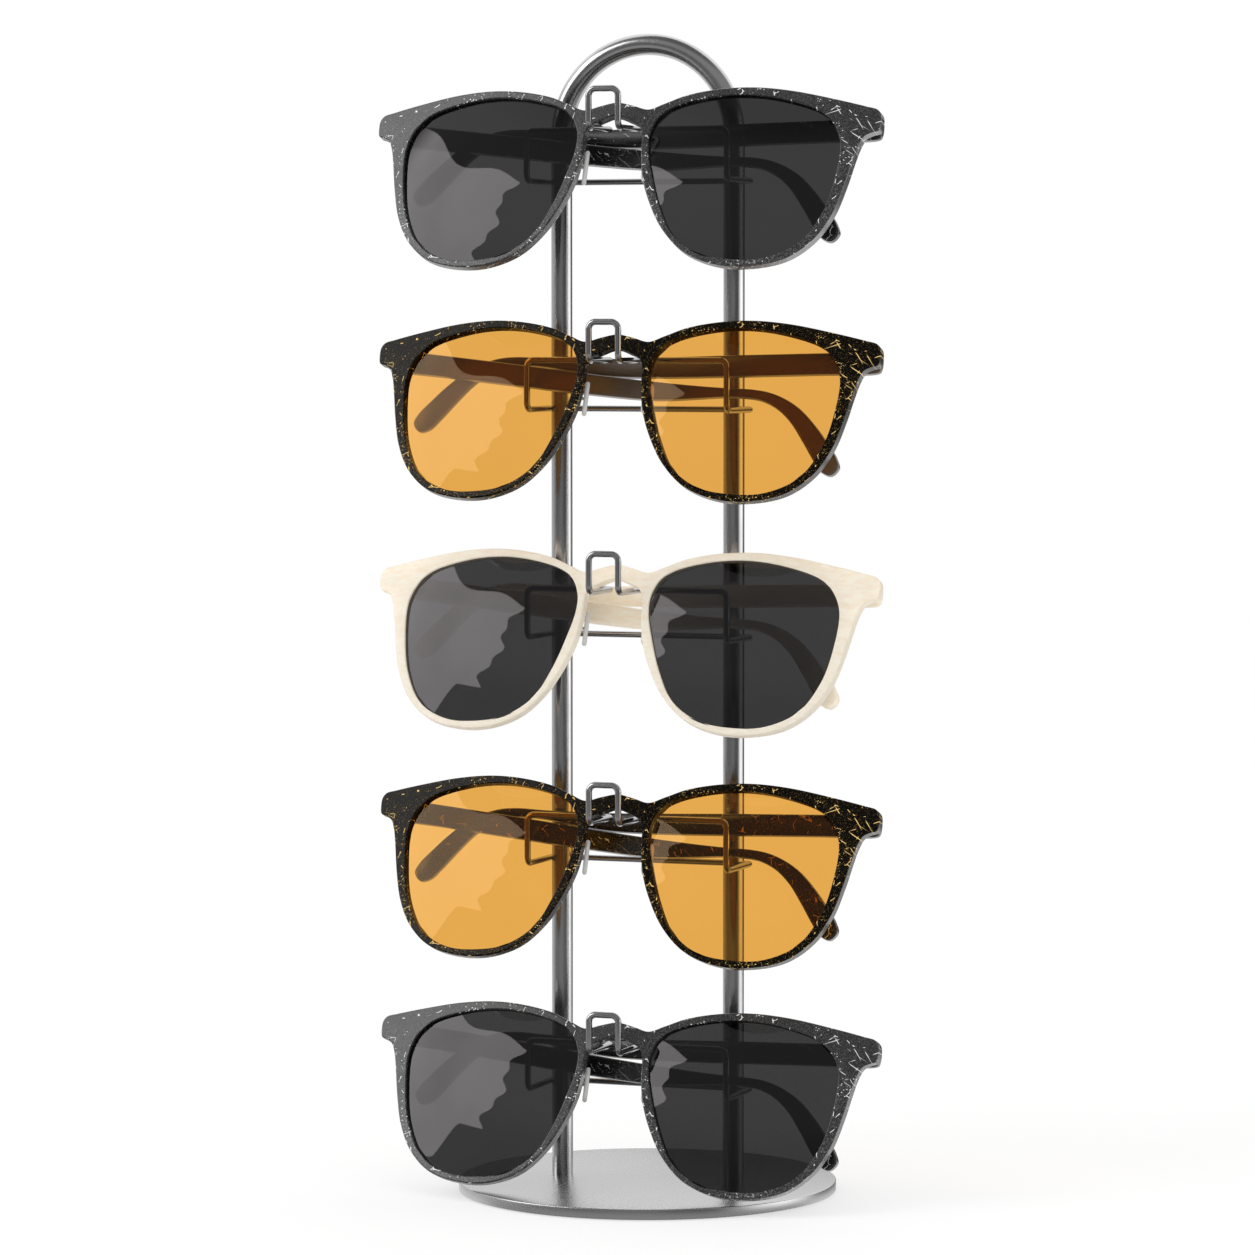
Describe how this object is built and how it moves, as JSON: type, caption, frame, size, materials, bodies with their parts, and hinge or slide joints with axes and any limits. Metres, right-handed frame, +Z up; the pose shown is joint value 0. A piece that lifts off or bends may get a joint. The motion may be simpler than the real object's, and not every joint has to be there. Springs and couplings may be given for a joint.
{
  "type": "rotating display rack",
  "caption": "Rotating counter rack: a turning disc carries a bent-rod arch with wire hangers, each holding a folded pair of sunglasses by its bridge.",
  "frame": {"origin": "centre of the underside, on the swivel axis", "axes": "+Z up, -Y towards the front, where the sunglasses hang; X from the left pair of temples to the right"},
  "size_m": [0.15, 0.108, 0.3294],
  "materials": {
    "hoop_steel": "polished gunmetal plating",
    "wire_steel": "satin gunmetal plating",
    "disc_steel": "satin, a soft mirror at low angles",
    "ground_steel": "matt powder coat",
    "pad_rubber": "matt",
    "glide_plastic": "slippery acetal",
    "fixing_steel": "zinc plated",
    "acetate_charcoal": "polished, with pale veins",
    "acetate_gold": "polished, with gold flecks",
    "acetate_ivory": "polished, with a fine grain",
    "lens_grey": "tinted, polished",
    "lens_amber": "tinted, polished",
    "hinge_steel": "nickel plated",
    "nose_pad_clear": "clear soft pads on plated arms"
  },
  "bodies": {
    "ground_base": {"ground_plate": "ground_steel", "anti_slip_pad": "pad_rubber", "glide_ring": "glide_plastic"},
    "turntable": {"pivot_rivet": "fixing_steel", "turntable_disc": "disc_steel", "upright_hoop": "hoop_steel", "foot_screws": "fixing_steel", "hanger_1": "wire_steel", "hanger_2": "wire_steel", "hanger_3": "wire_steel", "hanger_4": "wire_steel", "hanger_5": "wire_steel"},
    "pair_1": {"front_1": "acetate_charcoal", "lens_left_1": "lens_grey", "lens_right_1": "lens_grey", "front_hinges_1": "hinge_steel", "nose_pads_1": "nose_pad_clear"},
    "temple_left_1": {"temple_left_1": "acetate_charcoal", "temple_hinge_left_1": "hinge_steel"},
    "temple_right_1": {"temple_right_1": "acetate_charcoal", "temple_hinge_right_1": "hinge_steel"},
    "pair_2": {"front_2": "acetate_gold", "lens_left_2": "lens_amber", "lens_right_2": "lens_amber", "front_hinges_2": "hinge_steel", "nose_pads_2": "nose_pad_clear"},
    "temple_left_2": {"temple_left_2": "acetate_gold", "temple_hinge_left_2": "hinge_steel"},
    "temple_right_2": {"temple_right_2": "acetate_gold", "temple_hinge_right_2": "hinge_steel"},
    "pair_3": {"front_3": "acetate_ivory", "lens_left_3": "lens_grey", "lens_right_3": "lens_grey", "front_hinges_3": "hinge_steel", "nose_pads_3": "nose_pad_clear"},
    "temple_left_3": {"temple_left_3": "acetate_ivory", "temple_hinge_left_3": "hinge_steel"},
    "temple_right_3": {"temple_right_3": "acetate_ivory", "temple_hinge_right_3": "hinge_steel"},
    "pair_4": {"front_4": "acetate_gold", "lens_left_4": "lens_amber", "lens_right_4": "lens_amber", "front_hinges_4": "hinge_steel", "nose_pads_4": "nose_pad_clear"},
    "temple_left_4": {"temple_left_4": "acetate_gold", "temple_hinge_left_4": "hinge_steel"},
    "temple_right_4": {"temple_right_4": "acetate_gold", "temple_hinge_right_4": "hinge_steel"},
    "pair_5": {"front_5": "acetate_charcoal", "lens_left_5": "lens_grey", "lens_right_5": "lens_grey", "front_hinges_5": "hinge_steel", "nose_pads_5": "nose_pad_clear"},
    "temple_left_5": {"temple_left_5": "acetate_charcoal", "temple_hinge_left_5": "hinge_steel"},
    "temple_right_5": {"temple_right_5": "acetate_charcoal", "temple_hinge_right_5": "hinge_steel"}
  },
  "joints": [
    {"name": "turntable_spin", "type": "hinge", "parent": "ground_base", "child": "turntable", "pos_m": [0, 0, 0.0016], "axis": [0, 0, 1], "continuous": true},
    {"name": "lift_1", "type": "slide", "parent": "turntable", "child": "pair_1", "axis": [0, 0, 1], "range_m": [0, 0.012]},
    {"name": "fold_left_1", "type": "hinge", "parent": "pair_1", "child": "temple_left_1", "pos_m": [-0.0701, -0.01357, 0.30162], "axis": [0.1132, 0.3317, 0.9366], "range_deg": [0, 1.6]},
    {"name": "fold_right_1", "type": "hinge", "parent": "pair_1", "child": "temple_right_1", "pos_m": [0.0701, -0.01357, 0.30162], "axis": [0.014, -0.3338, -0.9425], "range_deg": [0, 1.4]},
    {"name": "lift_2", "type": "slide", "parent": "turntable", "child": "pair_2", "axis": [0, 0, 1], "range_m": [0, 0.012]},
    {"name": "fold_left_2", "type": "hinge", "parent": "pair_2", "child": "temple_left_2", "pos_m": [-0.0701, -0.01357, 0.23712], "axis": [0.1132, 0.3317, 0.9366], "range_deg": [0, 1.6]},
    {"name": "fold_right_2", "type": "hinge", "parent": "pair_2", "child": "temple_right_2", "pos_m": [0.0701, -0.01357, 0.23712], "axis": [0.014, -0.3338, -0.9425], "range_deg": [0, 1.4]},
    {"name": "lift_3", "type": "slide", "parent": "turntable", "child": "pair_3", "axis": [0, 0, 1], "range_m": [0, 0.012]},
    {"name": "fold_left_3", "type": "hinge", "parent": "pair_3", "child": "temple_left_3", "pos_m": [-0.0701, -0.01357, 0.17262], "axis": [0.1132, 0.3317, 0.9366], "range_deg": [0, 1.6]},
    {"name": "fold_right_3", "type": "hinge", "parent": "pair_3", "child": "temple_right_3", "pos_m": [0.0701, -0.01357, 0.17262], "axis": [0.014, -0.3338, -0.9425], "range_deg": [0, 1.4]},
    {"name": "lift_4", "type": "slide", "parent": "turntable", "child": "pair_4", "axis": [0, 0, 1], "range_m": [0, 0.012]},
    {"name": "fold_left_4", "type": "hinge", "parent": "pair_4", "child": "temple_left_4", "pos_m": [-0.0701, -0.01357, 0.10812], "axis": [0.1132, 0.3317, 0.9366], "range_deg": [0, 1.6]},
    {"name": "fold_right_4", "type": "hinge", "parent": "pair_4", "child": "temple_right_4", "pos_m": [0.0701, -0.01357, 0.10812], "axis": [0.014, -0.3338, -0.9425], "range_deg": [0, 1.4]},
    {"name": "lift_5", "type": "slide", "parent": "turntable", "child": "pair_5", "axis": [0, 0, 1], "range_m": [0, 0.012]},
    {"name": "fold_left_5", "type": "hinge", "parent": "pair_5", "child": "temple_left_5", "pos_m": [-0.0701, -0.01357, 0.04362], "axis": [0.1132, 0.3317, 0.9366], "range_deg": [0, 1.6]},
    {"name": "fold_right_5", "type": "hinge", "parent": "pair_5", "child": "temple_right_5", "pos_m": [0.0701, -0.01357, 0.04362], "axis": [0.014, -0.3338, -0.9425], "range_deg": [0, 1.4]}
  ]
}
